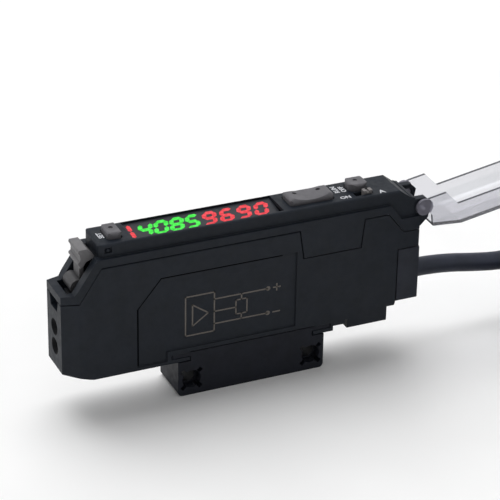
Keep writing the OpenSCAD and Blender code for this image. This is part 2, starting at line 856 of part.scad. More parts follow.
module cable_gland() {
    x_back = gland_x - gland_gap - wall - neck_gap;
    head_inset = 0.9;
    color("#1f2125") {
        along(gland_x, gland_x + gland_l)
            translate([0, gland_z + gland_h / 2])
                rrect(body_w - 0.3, gland_h, 0.4);
        box([x_back, -neck_w2 / 2 + neck_gap, gland_z + neck_inset + neck_gap],
            [gland_x + eps, neck_w2 / 2 - neck_gap, gland_z + gland_h - neck_inset - neck_gap]);
        box([x_back - 0.9, -head_w / 2, gland_z + head_inset],
            [x_back + eps, head_w / 2, gland_z + gland_h - head_inset]);
    }
}

// Rings of points square to a route, joined to one closed tube
function unit(v) = v / norm(v);
function tangent(p, i) = unit(p[min(i + 1, len(p) - 1)] - p[max(i - 1, 0)]);
function ring(c, t, r, n) = let (u = unit(cross([0, 1, 0], t)), v = cross(t, u))
    [for (k = [0 : n - 1]) c + r * (cos(360 * k / n) * u + sin(360 * k / n) * v)];

module tube(path, d, n) {
    last = len(path) - 1;
    dirs = [for (i = [0 : last]) i == 0 ? [1, 0, 0] : tangent(path, i)];
    points = [for (i = [0 : last]) each ring(path[i], dirs[i], d / 2, n)];
    sides = [for (i = [0 : last - 1], k = [0 : n - 1])
        [i * n + k, i * n + (k + 1) % n, (i + 1) * n + (k + 1) % n, (i + 1) * n + k]];
    first_cap = [for (k = [n - 1 : -1 : 0]) k];
    last_cap = [for (k = [0 : n - 1]) last * n + k];
    polyhedron(points, concat([first_cap], sides, [last_cap]));
}

module cable() {
    color("#26282d") tube(route, cable_d, 10);
}

module cable_coil() {
    color("#26282d")
        translate([coil_x, coil_y, tie_t])
            rotate_extrude($fn = 96)
                translate([coil_in, 0]) square([coil_out - coil_in, coil_h]);
}

module coil_tie() {
    color("#1b1c1f")
        translate([coil_x - tie_w / 2, coil_y, 0])
            difference() {
                translate([0, -coil_out - tie_t, 0])
                    cube([tie_w, coil_out - coil_in + 2 * tie_t, coil_h + 2 * tie_t]);
                translate([-1, -coil_out, tie_t])
                    cube([tie_w + 2, coil_out - coil_in + 0.2, coil_h]);
            }
}

module cable_tail() {
    color("#26282d") tube(tail_route, cable_d, 10);
}

// Flying lead that fans out from the end of the cable
module lead(side_step) {
    path = [for (i = [0 : len(lead_route) - 1])
        lead_route[i] + [0, side_step * (lead_fan + lead_spread * i), 0]];
    tube(path, lead_d, 8);
}

module lead_brown() {
    color("#6b4a33") lead(-1);
}

module lead_blue() {
    color("#2f5f9e") lead(0);
}

module lead_black() {
    color("#1b1c1f") lead(1);
}

module bracket_outline() {
    half_l = bracket_l / 2;
    neck = lip_x - 0.2;
    flange = rail_w / 2 - 0.1;
    translate([0, bracket_h / 2 + corner_r / 2]) square([bracket_l, bracket_h - corner_r], center = true);
    translate([0, bracket_h / 2]) square([bracket_l - 2 * corner_r, bracket_h], center = true);
    for (s = [-1, 1])
        translate([s * (half_l - corner_r), corner_r]) circle(corner_r);
    translate([-neck, bracket_h - eps]) square([2 * neck, z_flange + flange_t - bracket_h + eps]);
    translate([-flange, z_flange]) square([2 * flange, flange_t]);
}

module mounting_bracket() {
    color("#1d1f23")
        difference() {
            side(bracket_w) bracket_outline();
            for (s = [-1, 1]) {
                cross_pin(s * screw_pitch / 2, hole_z, screw_d / 2, body_w + 2);
                for (m = [0, 1])
                    mirror([0, m, 0])
                        slab(-bracket_w, -bracket_w / 2 + star_depth)
                            translate([s * screw_pitch / 2, hole_z]) {
                                circle(star_r);
                                for (a = [45, 135])
                                    rotate(a) square([star_l, star_slot], center = true);
                            }
            }
        }
}

lower_case();
upper_cover();
display_window();
display_module();
display_board();
main_board();
board_connector();
controller_chip();
regulator();
set_button();
rocker_button();
mode_button();
select_slider();
set_switch();
up_switch();
down_switch();
mode_switch();
slide_switch();
dust_cover();
clamp_lever();
lever_pin();
fibre_clamp();
optical_holder();
light_emitter();
light_receiver();
cable_gland();
cable();
cable_coil();
coil_tie();
cable_tail();
lead_brown();
lead_blue();
lead_black();
mounting_bracket();
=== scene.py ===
import math

import bmesh
import bpy
from mathutils import Matrix, Vector


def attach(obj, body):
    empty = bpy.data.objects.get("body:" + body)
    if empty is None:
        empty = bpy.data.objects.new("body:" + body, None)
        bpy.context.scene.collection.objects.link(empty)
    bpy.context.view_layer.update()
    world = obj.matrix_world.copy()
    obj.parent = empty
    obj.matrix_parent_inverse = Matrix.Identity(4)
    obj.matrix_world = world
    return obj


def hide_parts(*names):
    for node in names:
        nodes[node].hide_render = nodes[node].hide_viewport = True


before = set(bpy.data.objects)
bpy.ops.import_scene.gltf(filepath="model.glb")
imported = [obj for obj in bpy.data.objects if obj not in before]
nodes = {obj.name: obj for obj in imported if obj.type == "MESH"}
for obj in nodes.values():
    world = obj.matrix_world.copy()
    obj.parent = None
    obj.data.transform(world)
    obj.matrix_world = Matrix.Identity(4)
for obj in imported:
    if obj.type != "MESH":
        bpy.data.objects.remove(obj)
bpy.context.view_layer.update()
scene = bpy.context.scene
mm = 0.001
print("frame loaded:", len(nodes), "nodes")

# camera at the photo's viewing angle
cameraSettings = {
    "place": (-165.34, -368.66, 238.37),
    "right": (0.91451141, -0.40423404, 0.01623918),
    "down": (-0.17360611, -0.42837835, -0.88676542),
    "ahead": (0.36541728, 0.80813788, -0.46193439),
    "lens": 163.895,
    "sensor": 36,
    "clip": (0.01, 20),
}


def makeCamera(settings):
    data = bpy.data.cameras.new("benchCamera")
    data.sensor_width = settings["sensor"]
    data.lens = settings["lens"]
    data.clip_start, data.clip_end = settings["clip"]
    camera = bpy.data.objects.new("benchCamera", data)
    right, up, back = Vector(settings["right"]), -Vector(settings["down"]), -Vector(settings["ahead"])
    turn = Matrix((right, up, back)).transposed()
    camera.matrix_world = Matrix.Translation(Vector(settings["place"]) * mm) @ turn.to_4x4()
    scene.collection.objects.link(camera)
    scene.camera = camera


makeCamera(cameraSettings)

# cable: out of the gland, onto the coil, down its layers and out over the bench to the bare leads
cableLay = {
    "diameter": 4.0,
    "lead": [(37.3, 0, 16.2), (41, 0, 16.2), (47, 0, 15.7), (53, 0, 14.7), (59, 0, 13.9), (65, 0, 13.9),
             (70, 0, 14.4), (75, 0, 14.7)],
    "coilCentre": (82, -28.8),
    "outer": 28.85,
    "inner": 15.9,
    "layers": (14.7, 10.65, 6.6, 2.55),
    "layerTurns": 3.125,
    "stepTurns": 0.5,
    "pointsPerTurn": 40,
    "startAngle": 90,
    "bevelSteps": 5,
    "curveSteps": 3,
    "tail": [(86, 0, 2.5), (90, 0, 2.5), (94, 0.3, 2.3), (98, 0.8, 2.1), (100, 1.1, 2.1)],
}


def smooth(t):
    return t * t * (3 - 2 * t)


def coilPoints(lay):
    points, turned = [], 0.0
    inner, outer = lay["inner"], lay["outer"]
    stages = []
    for i, height in enumerate(lay["layers"]):
        ends = (outer, inner) if i % 2 == 0 else (inner, outer)
        stages.append((lay["layerTurns"], ends, (height, height)))
        if i + 1 < len(lay["layers"]):
            stages.append((lay["stepTurns"], (ends[1], ends[1]), (height, lay["layers"][i + 1])))
    for turns, radii, heights in stages:
        count = round(turns * lay["pointsPerTurn"])
        for k in range(count):
            t = k / count
            angle = math.radians(lay["startAngle"]) - 2 * math.pi * (turned + turns * t)
            radius = radii[0] + (radii[1] - radii[0]) * t
            height = heights[0] + (heights[1] - heights[0]) * smooth(t)
            points.append((lay["coilCentre"][0] + radius * math.cos(angle),
                           lay["coilCentre"][1] + radius * math.sin(angle), height))
        turned += turns
    points.append((lay["coilCentre"][0], lay["coilCentre"][1] + outer, lay["layers"][-1]))
    return points


def makeCable(lay):
    route = lay["lead"] + coilPoints(lay) + lay["tail"]
    curve = bpy.data.curves.new("cableCord", "CURVE")
    curve.dimensions = "3D"
    curve.bevel_depth = 1.0  # times each point's radius
    curve.bevel_resolution = lay["bevelSteps"]
    curve.resolution_u = lay["curveSteps"]
    curve.use_fill_caps = True
    spline = curve.splines.new("BEZIER")
    spline.bezier_points.add(len(route) - 1)
    for point, place in zip(spline.bezier_points, route):
        point.co = Vector(place) * mm
        point.radius = lay["diameter"] / 2 * mm
        point.handle_left_type = point.handle_right_type = "AUTO"
    cable = bpy.data.objects.new("cableCord", curve)
    scene.collection.objects.link(cable)
    length = sum((Vector(a) - Vector(b)).length for a, b in zip(route, route[1:])) * mm
    print("cable length", round(length, 4), "m")
    return cable, length


cable, cableLength = makeCable(cableLay)
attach(cable, "housing")
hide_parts("cable", "cable_coil", "cable_tail")


def tone(red, green, blue):
    shares = (channel / 255 for channel in (red, green, blue))
    return tuple(((c + 0.055) / 1.055) ** 2.4 if c > 10 / 255 else c / 12.92 for c in shares) + (1,)


def newFinish(name):
    finish = bpy.data.materials.new(name)
    finish.use_nodes = True
    return finish, finish.node_tree, finish.node_tree.nodes["Principled BSDF"]


def addNode(tree, kind, **sockets):
    node = tree.nodes.new(kind)
    for name, value in sockets.items():
        node.inputs[name.replace("_", " ")].default_value = value
    return node


def addNoise(tree, scale, detail=3.0, stretch=(1, 1, 1)):
    place = tree.nodes.new("ShaderNodeTexCoord")
    fit = addNode(tree, "ShaderNodeMapping", Scale=stretch)
    noise = addNode(tree, "ShaderNodeTexNoise", Scale=scale, Detail=detail)
    tree.links.new(place.outputs["Object"], fit.inputs["Vector"])
    tree.links.new(fit.outputs["Vector"], noise.inputs["Vector"])
    return noise.outputs["Fac"]


def addRamp(tree, source, low, high, start=0.35, end=0.65):
    ramp = tree.nodes.new("ShaderNodeValToRGB")
    for stop, position, colour in zip(ramp.color_ramp.elements, (start, end), (low, high)):
        stop.position, stop.color = position, colour
    tree.links.new(source, ramp.inputs["Fac"])
    return ramp.outputs["Color"]


def grey(value):
    return (value, value, value, 1)


def addMix(tree, share, first, second):
    mix = tree.nodes.new("ShaderNodeMix")
    mix.data_type = "RGBA"
    tree.links.new(share, mix.inputs["Factor"])
    for name, value in (("A", first), ("B", second)):
        if isinstance(value, tuple):
            mix.inputs[name].default_value = value
        else:
            tree.links.new(value, mix.inputs[name])
    return mix.outputs["Result"]


def addMath(tree, kind, first, second=0):
    node = tree.nodes.new("ShaderNodeMath")
    node.operation = kind
    for socket, value in zip(node.inputs, (first, second)):
        if isinstance(value, (int, float)):
            socket.default_value = value
        else:
            tree.links.new(value, socket)
    return node.outputs["Value"]


def addGreys(tree, source, ends):
    return addRamp(tree, source, grey(ends[0]), grey(ends[1]))


def objectPlace(tree):
    place = tree.nodes.new("ShaderNodeTexCoord")
    where = tree.nodes.new("ShaderNodeSeparateXYZ")
    tree.links.new(place.outputs["Object"], where.inputs["Vector"])
    return where.outputs


# painted shade: the lever is coloured darker down in its pocket, where the pocket shades it
def shadeLeverFoot(tree, colour, look):
    low, high = (z * mm for z in look["footRise"])
    rise = addNode(tree, "ShaderNodeMapRange", From_Min=low, From_Max=high)
    tree.links.new(objectPlace(tree)["Z"], rise.inputs["Value"])
    return addMix(tree, rise.outputs["Result"], look["foot"], colour)


# painted shade: the fibre ports are coloured darker and less shiny than their depth alone makes them
def shadePorts(tree, shader, colour, look):
    place = tree.nodes.new("ShaderNodeTexCoord")
    endOn = tree.nodes.new("ShaderNodeVectorMath")
    endOn.operation = "MULTIPLY"
    endOn.inputs[1].default_value = (0, 1, 1)
    tree.links.new(place.outputs["Object"], endOn.inputs[0])
    shine = grey(look["shine"])
    for rise in look["portRises"]:
        away = tree.nodes.new("ShaderNodeVectorMath")
        away.operation = "DISTANCE"
        away.inputs[1].default_value = (0, 0, rise * mm)
        tree.links.new(endOn.outputs["Vector"], away.inputs[0])
        inside = addMath(tree, "LESS_THAN", away.outputs["Value"], look["portReach"] * mm)
        colour = addMix(tree, inside, colour, look["portShade"])
        shine = addMix(tree, inside, shine, grey(look["portShadeShine"]))
    tree.links.new(shine, shader.inputs["Specular IOR Level"])
    return colour


plasticBase = {"mottleScale": 260, "wearScale": 900, "shine": 0.45, "edgeSamples": 6, "grainDepth": 0.02}


# moulded plastic: slow mottling, spark-eroded grain and a softened edge
def makePlastic(name, ownLook):
    look = {**plasticBase, **ownLook}
    finish, tree, shader = newFinish(name)
    mottle = addNoise(tree, look["mottleScale"], 4)
    colour = addRamp(tree, mottle, look["dark"], look["pale"])
    # painted shade at the lever's foot
    if "foot" in look:
        colour = shadeLeverFoot(tree, colour, look)
    # painted shade in the fibre ports
    if "portShade" in look:
        colour = shadePorts(tree, shader, colour, look)
    tree.links.new(colour, shader.inputs["Base Color"])
    wear = addNoise(tree, look["wearScale"], 5)
    tree.links.new(addGreys(tree, wear, look["rough"]), shader.inputs["Roughness"])
    grain = addNoise(tree, look["grainScale"], 2)
    edge = addNode(tree, "ShaderNodeBevel", Radius=look["edge"] * mm)
    edge.samples = look["edgeSamples"]
    bump = addNode(tree, "ShaderNodeBump", Strength=look["grain"], Distance=look["grainDepth"] * mm)
    tree.links.new(grain, bump.inputs["Height"])
    tree.links.new(edge.outputs["Normal"], bump.inputs["Normal"])
    tree.links.new(bump.outputs["Normal"], shader.inputs["Normal"])
    shader.inputs["Specular IOR Level"].default_value = look["shine"]
    return finish


plasticLooks = {
    # the port tones of caseBlack are painted shade in the fibre ports
    "caseBlack": {"dark": tone(15, 21, 29), "pale": tone(20, 26, 35), "rough": (0.5, 0.6), "grainScale": 9000,
                  "grain": 0.25, "edge": 0.25, "shine": 0.25, "portShade": tone(12, 13, 16), "portShadeShine": 0.07,
                  "portRises": (14.6, 18.9), "portReach": 1.78},
    "keyGrey": {"dark": tone(91, 90, 94), "pale": tone(99, 98, 102), "rough": (0.5, 0.62), "grainScale": 7000,
                "grain": 0.25, "edge": 0.2, "shine": 0.35},
    "knobGrey": {"dark": tone(112, 109, 109), "pale": tone(120, 117, 117), "rough": (0.45, 0.55), "grainScale": 7000,
                 "grain": 0.2, "edge": 0.1},
    # the lever's foot tone is painted shade for its pocket
    "leverGrey": {"dark": tone(102, 101, 103), "pale": tone(110, 109, 111), "rough": (0.45, 0.58), "grainScale": 6000,
                  "grain": 0.25, "edge": 0.15, "shine": 0.35, "foot": tone(64, 64, 66), "footRise": (29.0, 32.5)},
    "glandBlack": {"dark": tone(38, 41, 49), "pale": tone(44, 47, 56), "rough": (0.55, 0.68), "grainScale": 8000,
                   "grain": 0.3, "edge": 0.2, "shine": 0.25},
    "bracketBlack": {"dark": tone(19, 22, 30), "pale": tone(24, 27, 36), "rough": (0.48, 0.6), "grainScale": 8000,
                     "grain": 0.25, "edge": 0.2, "shine": 0.2},
    "holderBlack": {"dark": tone(38, 40, 44), "pale": tone(46, 48, 52), "rough": (0.6, 0.7), "grainScale": 6000,
                    "grain": 0.3, "edge": 0.1},
    "clampBlack": {"dark": tone(30, 31, 34), "pale": tone(38, 39, 43), "rough": (0.4, 0.5), "grainScale": 5000,
                   "grain": 0.15, "edge": 0.15},
    "chipBlack": {"dark": tone(30, 31, 33), "pale": tone(40, 41, 44), "rough": (0.6, 0.75), "grainScale": 12000,
                  "grain": 0.35, "edge": 0.08},
    "moduleDark": {"dark": tone(38, 39, 42), "pale": tone(46, 46, 50), "rough": (0.5, 0.6), "grainScale": 7000,
                   "grain": 0.2, "edge": 0.1},
    "tieBlack": {"dark": tone(22, 23, 25), "pale": tone(30, 31, 34), "rough": (0.4, 0.55), "grainScale": 3000,
                 "grain": 0.2, "edge": 0.1},
    "sheathBlack": {"dark": tone(36, 40, 51), "pale": tone(42, 46, 59), "rough": (0.5, 0.62), "grainScale": 4000,
                    "grain": 0.3, "edge": 0.05, "shine": 0.35},
}
finishes = {name: makePlastic(name, look) for name, look in plasticLooks.items()}

# the plate, rim and far tones are painted light and shade on one clear sheet
coverLook = {
    "sheet": tone(228, 228, 231), "plate": tone(214, 214, 218), "rim": tone(86, 87, 92), "lug": tone(142, 141, 152),
    "farSheetLight": tone(231, 231, 235), "farPlateLight": tone(224, 225, 229), "clear": 0.96, "rimLoss": 0.75, "lugLoss": 0.55,
    "sheetEdge": 4.36, "farEdge": 3.4, "pivot": (38.0, 32.6), "open": 170, "plateRise": 3.9, "lugReach": 1.9,
    "sideOn": 0.5, "hazeScale": 500, "rough": (0.03, 0.07), "ior": 1.2,
}


# clear moulding: faint smoke in the sheet, grey and less clear in the thick hinge lugs; the cut edges of the skirts
# are painted dark and cloudy as painted shade, and the top plate, the far side and the near side carry lit and shaded
# tones of the one sheet as painted light and shade
def makeClearMoulding(look):
    finish, tree, shader = newFinish("coverClear")
    where = objectPlace(tree)
    place = tree.nodes.new("ShaderNodeTexCoord")
    facing = tree.nodes.new("ShaderNodeSeparateXYZ")
    tree.links.new(place.outputs["Normal"], facing.inputs["Vector"])

    def math2(kind, first, second=0):
        return addMath(tree, kind, first, second)

    def without(mask):
        return math2("SUBTRACT", 1, mask)

    # mask for the painted shade on the cut edges of the skirts
    outside = math2("GREATER_THAN", math2("ABSOLUTE", where["Y"]), look["sheetEdge"] * mm)
    across = math2("LESS_THAN", math2("ABSOLUTE", facing.outputs["Y"]), look["sideOn"])
    acrossX = math2("SUBTRACT", where["X"], look["pivot"][0] * mm)
    acrossZ = math2("SUBTRACT", where["Z"], look["pivot"][1] * mm)
    away = math2("SQRT", math2("ADD", math2("POWER", acrossX, 2), math2("POWER", acrossZ, 2)))
    lug = math2("LESS_THAN", away, look["lugReach"] * mm)
    swing = math.radians(look["open"])
    height = math2("ADD", math2("MULTIPLY", acrossX, math.sin(swing)), math2("MULTIPLY", acrossZ, math.cos(swing)))
    plate = math2("GREATER_THAN", height, look["plateRise"] * mm)
    near = math2("LESS_THAN", where["Y"], 0)
    rimmed = math2("MULTIPLY", math2("MAXIMUM", without(plate), near), without(lug))
    edge = math2("MULTIPLY", math2("MULTIPLY", outside, across), rimmed)
    # painted light: the far side of the cover is coloured lighter than the near side
    farLight = math2("GREATER_THAN", where["Y"], look["farEdge"] * mm)
    farPlateLight = math2("MULTIPLY", farLight, plate)
    inPlate = math2("MULTIPLY", plate, without(outside))
    colour = addRamp(tree, inPlate, look["sheet"], look["plate"], 0.0, 1.0)
    for mask, kind in ((farLight, "farSheetLight"), (farPlateLight, "farPlateLight"), (edge, "rim"), (lug, "lug")):
        colour = addMix(tree, mask, colour, look[kind])
    tree.links.new(colour, shader.inputs["Base Color"])
    loss = math2("ADD", math2("MULTIPLY", edge, look["rimLoss"]), math2("MULTIPLY", lug, look["lugLoss"]))
    tree.links.new(math2("SUBTRACT", look["clear"], loss), shader.inputs["Transmission Weight"])
    haze = addNoise(tree, look["hazeScale"], 3)
    tree.links.new(addGreys(tree, haze, look["rough"]), shader.inputs["Roughness"])
    shader.inputs["IOR"].default_value = look["ior"]
    return finish


finishes["coverClear"] = makeClearMoulding(coverLook)

paneLook = {"dark": tone(40, 42, 47), "pale": tone(46, 48, 54), "mottleScale": 300, "smearScale": 700,
            "rough": (0.35, 0.45), "shine": 0.25, "coat": 0.05, "coatRough": 0.15}


# smoked pane over the digits
def makeSmokedPane(look):
    finish, tree, shader = newFinish("paneSmoke")
    mottle = addNoise(tree, look["mottleScale"], 3)
    tree.links.new(addRamp(tree, mottle, look["dark"], look["pale"]), shader.inputs["Base Color"])
    smear = addNoise(tree, look["smearScale"], 4)
    tree.links.new(addGreys(tree, smear, look["rough"]), shader.inputs["Roughness"])
    shader.inputs["Specular IOR Level"].default_value = look["shine"]
    shader.inputs["Coat Weight"].default_value = look["coat"]
    shader.inputs["Coat Roughness"].default_value = look["coatRough"]
    return finish


finishes["paneSmoke"] = makeSmokedPane(paneLook)

litBase = {"unlit": tone(20, 20, 22), "strength": 1.0, "shine": 0.2, "rough": 0.4, "flickerScale": 1500}
litLooks = {
    "lampGreen": {"deep": tone(40, 226, 50), "bright": tone(84, 255, 90)},
    "lampRed": {"deep": tone(226, 42, 54), "bright": tone(252, 78, 88)},
}


# lit segments: uneven in brightness from place to place
def makeLamp(name, ownLook):
    look = {**litBase, **ownLook}
    finish, tree, shader = newFinish(name)
    flicker = addNoise(tree, look["flickerScale"], 2)
    tree.links.new(addRamp(tree, flicker, look["deep"], look["bright"]), shader.inputs["Emission Color"])
    shader.inputs["Base Color"].default_value = look["unlit"]
    shader.inputs["Specular IOR Level"].default_value = look["shine"]
    shader.inputs["Emission Strength"].default_value = look["strength"]
    shader.inputs["Roughness"].default_value = look["rough"]
    return finish


finishes.update({name: makeLamp(name, look) for name, look in litLooks.items()})

inkAndShadowBase = {"patchScale": 6000, "rough": 0.55}
inkAndShadowLooks = {
    "inkWhite": {"thin": tone(186, 188, 194), "full": tone(226, 228, 232), "shine": 0.4},
    # painted shadow colour for the line around the side field, not ink
    "shadowDark": {"thin": tone(5, 6, 8), "full": tone(9, 10, 13), "shine": 0.0},
    "inkSand": {"thin": tone(98, 93, 88), "full": tone(114, 108, 102), "shine": 0.3},
}


# printing ink, slightly uneven, and the dark painted shadow for the line around the side field
def makeInkAndShadow(name, ownLook):
    look = {**inkAndShadowBase, **ownLook}
    finish, tree, shader = newFinish(name)
    patch = addNoise(tree, look["patchScale"], 3)
    tree.links.new(addRamp(tree, patch, look["thin"], look["full"]), shader.inputs["Base Color"])
    shader.inputs["Specular IOR Level"].default_value = look["shine"]
    shader.inputs["Roughness"].default_value = look["rough"]
    return finish


finishes.update({name: makeInkAndShadow(name, look) for name, look in inkAndShadowLooks.items()})

boardLook = {"scale": 420, "mask": tone(22, 84, 54), "maskPale": tone(26, 92, 60), "copper": tone(52, 118, 72),
             "glossScale": 1200, "rough": (0.3, 0.45), "relief": 0.3, "reliefDepth": 0.03}


# solder mask with copper runs that show through
def makeBoard(look):
    finish, tree, shader = newFinish("boardGreen")
    place = tree.nodes.new("ShaderNodeTexCoord")
    runs = addNode(tree, "ShaderNodeTexBrick", Scale=look["scale"], Mortar_Size=0.02, Brick_Width=0.9,
                   Row_Height=0.35, Color1=look["mask"], Color2=look["maskPale"], Mortar=look["copper"])
    tree.links.new(place.outputs["Object"], runs.inputs["Vector"])
    tree.links.new(runs.outputs["Color"], shader.inputs["Base Color"])
    gloss = addNoise(tree, look["glossScale"], 3)
    tree.links.new(addGreys(tree, gloss, look["rough"]), shader.inputs["Roughness"])
    bump = addNode(tree, "ShaderNodeBump", Strength=look["relief"], Distance=look["reliefDepth"] * mm)
    tree.links.new(runs.outputs["Fac"], bump.inputs["Height"])
    tree.links.new(bump.outputs["Normal"], shader.inputs["Normal"])
    return finish


finishes["boardGreen"] = makeBoard(boardLook)

metalLooks = {
    "switchTin": {"dark": tone(168, 170, 174), "pale": tone(196, 198, 202), "rough": (0.3, 0.45), "scale": 3000,
                  "stretch": (1, 0.1, 1)},
    "pinSteel": {"dark": tone(170, 172, 176), "pale": tone(202, 204, 208), "rough": (0.18, 0.3), "scale": 5000,
                 "stretch": (1, 0.05, 1)},
}


# drawn steel and tinned sheet: fine lines along the piece
def makeMetal(name, look):
    finish, tree, shader = newFinish(name)
    lines = addNoise(tree, look["scale"], 3, look["stretch"])
    tree.links.new(addRamp(tree, lines, look["dark"], look["pale"]), shader.inputs["Base Color"])
    tree.links.new(addGreys(tree, lines, look["rough"]), shader.inputs["Roughness"])
    shader.inputs["Metallic"].default_value = 1.0
    return finish


finishes.update({name: makeMetal(name, look) for name, look in metalLooks.items()})

epoxyBase = {"cloudScale": 900, "rough": 0.12}
epoxyLooks = {
    "lensRose": {"dark": tone(224, 186, 180), "pale": tone(236, 206, 200), "clear": 0.6},
    "lensDark": {"dark": tone(50, 44, 56), "pale": tone(64, 58, 70), "clear": 0.3},
}


# epoxy lens of lamp and detector
def makeEpoxy(name, ownLook):
    look = {**epoxyBase, **ownLook}
    finish, tree, shader = newFinish(name)
    cloud = addNoise(tree, look["cloudScale"], 3)
    tree.links.new(addRamp(tree, cloud, look["dark"], look["pale"]), shader.inputs["Base Color"])
    shader.inputs["Transmission Weight"].default_value = look["clear"]
    shader.inputs["Roughness"].default_value = look["rough"]
    return finish


finishes.update({name: makeEpoxy(name, look) for name, look in epoxyLooks.items()})

leadBase = {"strands": tone(186, 176, 160), "stripped": 109.5, "mottleScale": 1500, "rough": 0.42}
leadLooks = {
    "leadBrown": {"dark": tone(92, 62, 42), "pale": tone(106, 74, 52)},
    "leadBlue": {"dark": tone(42, 86, 146), "pale": tone(54, 100, 162)},
    "leadBlack": {"dark": tone(26, 27, 30), "pale": tone(34, 35, 38)},
}


# lead: coloured insulation, stripped to tinned strands at its end
def makeLeadFinish(name, ownLook):
    look = {**leadBase, **ownLook}
    finish, tree, shader = newFinish(name)
    bare = addMath(tree, "GREATER_THAN", objectPlace(tree)["X"], look["stripped"] * mm)
    body = addRamp(tree, addNoise(tree, look["mottleScale"], 3), look["dark"], look["pale"])
    tree.links.new(addMix(tree, bare, body, look["strands"]), shader.inputs["Base Color"])
    tree.links.new(bare, shader.inputs["Metallic"])
    shader.inputs["Roughness"].default_value = look["rough"]
    return finish


finishes.update({name: makeLeadFinish(name, look) for name, look in leadLooks.items()})

nodeFinishes = {
    "lower_case": "caseBlack", "upper_cover": "caseBlack", "display_window": "paneSmoke",
    "display_module": "moduleDark", "display_board": "boardGreen", "main_board": "boardGreen",
    "board_connector": "chipBlack", "controller_chip": "chipBlack", "regulator": "chipBlack",
    "set_button": "keyGrey", "rocker_button": "keyGrey", "mode_button": "keyGrey", "select_slider": "knobGrey",
    "set_switch": "switchTin", "up_switch": "switchTin", "down_switch": "switchTin", "mode_switch": "switchTin",
    "slide_switch": "switchTin", "dust_cover": "coverClear", "clamp_lever": "leverGrey", "lever_pin": "pinSteel",
    "fibre_clamp": "clampBlack", "optical_holder": "holderBlack", "light_emitter": "lensRose",
    "light_receiver": "lensDark", "cable_gland": "glandBlack", "coil_tie": "tieBlack", "lead_brown": "leadBrown",
    "lead_blue": "leadBlue", "lead_black": "leadBlack", "mounting_bracket": "bracketBlack",
}
for nodeName, finishName in nodeFinishes.items():
    nodes[nodeName].data.materials.clear()
    nodes[nodeName].data.materials.append(finishes[finishName])
cable.data.materials.append(finishes["sheathBlack"])
nodes["dust_cover"].visible_shadow = False  # a clear sheet's shadow is faint, and Cycles renders this one solid
print("finishes:", len(finishes))


def addPiece(name, mesh, finish, body):
    mesh.materials.append(finishes[finish])
    piece = bpy.data.objects.new(name, mesh)
    scene.collection.objects.link(piece)
    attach(piece, body)


def faceOut(bm, outward):
    bmesh.ops.recalc_face_normals(bm, faces=bm.faces)
    for face in bm.faces:
        if face.normal.dot(outward) < 0:
            face.normal_flip()


def thicken(bm, step):
    lifted = bmesh.ops.extrude_face_region(bm, geom=bm.faces[:])["geom"]
    bmesh.ops.translate(bm, verts=[v for v in lifted if isinstance(v, bmesh.types.BMVert)], vec=step)


def toMesh(bm, name):
    mesh = bpy.data.meshes.new(name)
    bm.to_mesh(mesh)
    bm.free()
    return mesh


# lit digits on the leaning pane
paneLay = {"rise": 36.046, "lean": 0.83 / 7.2, "lift": 0.01, "thick": 0.02, "gap": 0.06, "nip": 0.9}
digitRows = [
    {"name": "digitOutput", "finish": "lampRed", "text": "1", "start": -25.75, "low": -1.95, "pitch": 3.0,
     "width": 2.4, "height": 5.5, "bar": 0.85, "slant": 0.0},
    {"name": "digitsActual", "finish": "lampGreen", "text": "4085", "start": -22.95, "low": -1.75, "pitch": 3.32,
     "width": 3.1, "height": 4.7, "bar": 0.95, "slant": 0.3},
    {"name": "digitsSet", "finish": "lampRed", "text": "9690", "start": -9.35, "low": -1.75, "pitch": 3.72,
     "width": 3.1, "height": 4.7, "bar": 0.95, "slant": 0.3},
]
segmentsOf = {"0": "abcdef", "1": "bc", "4": "fgbc", "5": "afgcd", "6": "afgedc", "8": "abcdefg", "9": "abcdfg"}


def onPane(x, y, lift):
    return Vector((x, y, paneLay["rise"] + paneLay["lean"] * y + lift)) * mm


def addBar(bm, row, left, ends):
    start, end = (Vector(place) for place in ends)
    along = (end - start).normalized()
    aside = Vector((-along.y, along.x)) * row["bar"] / 2
    nip = along * row["bar"] / 2 * paneLay["nip"]
    corners = [start, start + nip + aside, end - nip + aside, end, end - nip - aside, start + nip - aside]
    low = row["low"] + row["bar"] / 2
    bm.faces.new([bm.verts.new(onPane(left + c.x + row["slant"] * c.y, low + c.y, paneLay["lift"])) for c in corners])


def makeDigits(row):
    bm = bmesh.new()
    w, h, gap = row["width"] - row["bar"], row["height"] - row["bar"], paneLay["gap"]
    spans = {
        "a": ((gap, h), (w - gap, h)), "g": ((gap, h / 2), (w - gap, h / 2)), "d": ((gap, 0), (w - gap, 0)),
        "f": ((0, h / 2 + gap), (0, h - gap)), "b": ((w, h / 2 + gap), (w, h - gap)),
        "e": ((0, gap), (0, h / 2 - gap)), "c": ((w, gap), (w, h / 2 - gap)),
    }
    for place, figure in enumerate(row["text"]):
        left = row["start"] + place * row["pitch"] + row["bar"] / 2
        for segment in segmentsOf[figure]:
            addBar(bm, row, left, spans[segment])
    faceOut(bm, Vector((0, 0, 1)))
    thicken(bm, Vector((0, 0, paneLay["thick"] * mm)))
    addPiece(row["name"], toMesh(bm, row["name"]), row["finish"], "housing")


for row in digitRows:
    makeDigits(row)
print("digits done")

# small printed words on the key panel
printLay = {"rise": 37.012, "thick": 0.01, "bold": 0.04, "steps": 3}
panelWords = [
    {"name": "wordSet", "text": "SET", "at": (-30.5, 0.0), "size": 1.5, "turn": 90},
    {"name": "wordRun", "text": "RUN", "at": (20.5, 1.2), "size": 1.45, "turn": 90},
    {"name": "wordOff", "text": "OFF", "at": (22.0, 0.9), "size": 1.45, "turn": 90},
    {"name": "wordOn", "text": "ON", "at": (21.0, -2.7), "size": 1.45, "turn": 0},
    {"name": "wordAuto", "text": "A", "at": (29.0, -3.0), "size": 1.9, "turn": 0},
]


